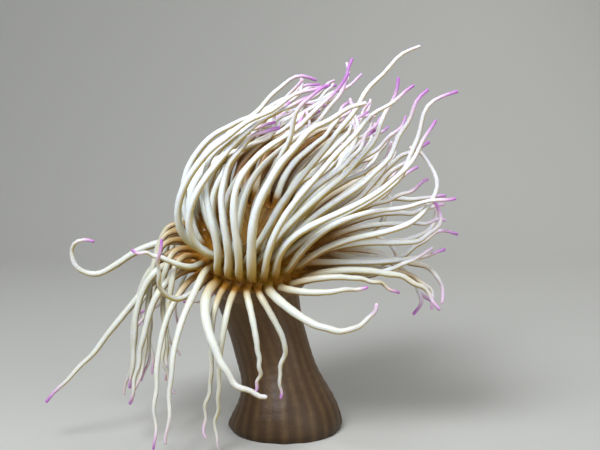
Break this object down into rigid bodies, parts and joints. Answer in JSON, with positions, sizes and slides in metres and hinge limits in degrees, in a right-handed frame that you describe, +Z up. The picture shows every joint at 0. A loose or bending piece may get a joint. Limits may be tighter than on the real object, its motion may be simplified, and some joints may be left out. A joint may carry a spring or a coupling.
{
  "type": "snakelocks anemone",
  "caption": "Still life-size model of a snakelocks anemone: a soft column on a flat foot, a tilted crown and long tapering tentacles swept to one side.",
  "frame": {"origin": "centre of the foot's flat underside, on the floor", "axes": "+Z up, +X to the right, the way the tentacles are swept, -Y to the front, the way the crown leans"},
  "size_m": [0.2247, 0.145, 0.2148],
  "materials": {
    "foot_flesh": "moist brown skin of the foot, satin",
    "column_flesh": "moist mottled brown skin of the column, satin",
    "crown_flesh": "moist orange-brown skin of the margin, satin",
    "mouth_flesh": "moist orange-brown skin of the mouth's disc, satin",
    "tentacle_flesh": "moist white skin of the tentacles, olive-gold on the side away from the light, satin",
    "tentacle_tip_flesh": "moist white skin that turns lilac and violet at the tips, satin"
  },
  "bodies": {
    "root": {"arc_a_tentacle_tip": "tentacle_tip_flesh", "column_lower": "column_flesh", "column_upper": "column_flesh", "crown_collar": "crown_flesh", "front_b_tentacle_tip": "tentacle_tip_flesh", "hook_tentacle_middle": "tentacle_tip_flesh", "hook_tentacle_tip": "tentacle_tip_flesh", "left_d_tentacle_middle": "tentacle_tip_flesh", "left_d_tentacle_tip": "tentacle_tip_flesh", "long_tentacle_middle": "tentacle_tip_flesh", "long_tentacle_tip": "tentacle_tip_flesh", "loop_a_tentacle_middle": "tentacle_tip_flesh", "loop_a_tentacle_tip": "tentacle_tip_flesh", "loop_b_tentacle_middle": "tentacle_tip_flesh", "loop_b_tentacle_tip": "tentacle_tip_flesh", "low_c_tentacle_tip": "tentacle_tip_flesh", "mouth_lips": "mouth_flesh", "oral_disc": "mouth_flesh", "pedal_disc": "foot_flesh", "reach_tentacle_middle": "tentacle_tip_flesh", "reach_tentacle_tip": "tentacle_tip_flesh", "stout_tentacle_middle": "tentacle_tip_flesh", "stout_tentacle_tip": "tentacle_tip_flesh", "tentacles_inner_01": "tentacle_flesh", "tentacles_inner_02": "tentacle_flesh", "tentacles_inner_03": "tentacle_flesh", "tentacles_inner_04": "tentacle_flesh", "tentacles_inner_05": "tentacle_flesh", "tentacles_inner_06": "tentacle_flesh", "tentacles_inner_07": "tentacle_flesh", "tentacles_inner_08": "tentacle_flesh", "tentacles_outer_01": "tentacle_flesh", "tentacles_outer_02": "tentacle_flesh", "tentacles_outer_03": "tentacle_flesh", "tentacles_outer_04": "tentacle_flesh", "tentacles_outer_05": "tentacle_flesh", "tentacles_outer_06": "tentacle_flesh", "tentacles_outer_07": "tentacle_flesh", "tentacles_outer_08": "tentacle_flesh", "tentacles_outer_09": "tentacle_flesh", "tentacles_outer_10": "tentacle_flesh", "tentacles_second_01": "tentacle_flesh", "tentacles_second_02": "tentacle_flesh", "tentacles_second_03": "tentacle_flesh", "tentacles_second_04": "tentacle_flesh", "tentacles_second_05": "tentacle_flesh", "tentacles_second_06": "tentacle_flesh", "tentacles_second_07": "tentacle_flesh", "tentacles_third_01": "tentacle_flesh", "tentacles_third_02": "tentacle_flesh", "tentacles_third_03": "tentacle_flesh", "tentacles_third_04": "tentacle_flesh", "tentacles_third_05": "tentacle_flesh", "tentacles_third_06": "tentacle_flesh", "tentacles_third_07": "tentacle_flesh", "tentacles_third_08": "tentacle_flesh", "tentacles_third_09": "tentacle_flesh", "top_tentacle_middle": "tentacle_tip_flesh", "top_tentacle_tip": "tentacle_tip_flesh"}
  },
  "joints": []
}
